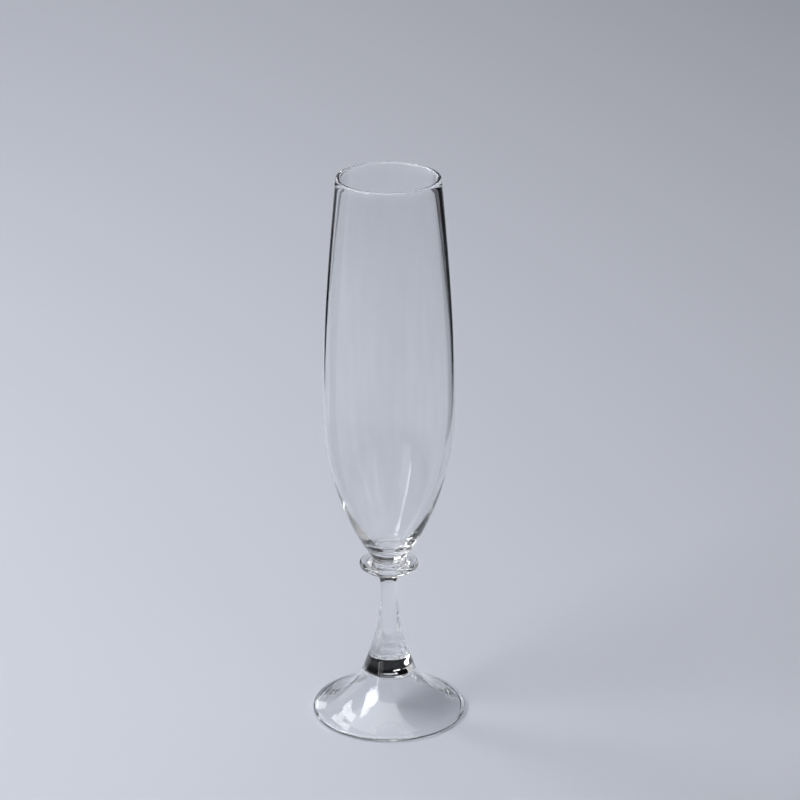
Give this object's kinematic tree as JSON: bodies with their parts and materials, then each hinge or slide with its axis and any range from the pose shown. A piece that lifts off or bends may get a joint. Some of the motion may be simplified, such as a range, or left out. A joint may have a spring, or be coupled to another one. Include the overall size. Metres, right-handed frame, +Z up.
{
  "type": "champagne flute",
  "caption": "Tall tulip-bowled champagne flute in clear hand-blown glass, with a merese under the bowl, a slender stem and a hollow trumpet foot.",
  "frame": {"origin": "centre of the ring that the foot rests on, in the plane of the table", "axes": "+Z up along the glass's axis of revolution, from the foot to the rim; X and Y are any two directions across the table, because the glass is round"},
  "size_m": [0.06, 0.06, 0.22],
  "materials": {
    "bowl_glass": "clear colourless blown glass, fire-polished",
    "merese_glass": "clear colourless solid glass, fire-polished",
    "stem_glass": "clear colourless solid glass, fire-polished",
    "foot_glass": "clear colourless blown glass, fire-polished"
  },
  "bodies": {
    "root": {"bowl": "bowl_glass", "merese": "merese_glass", "stem": "stem_glass", "foot": "foot_glass"}
  },
  "joints": []
}
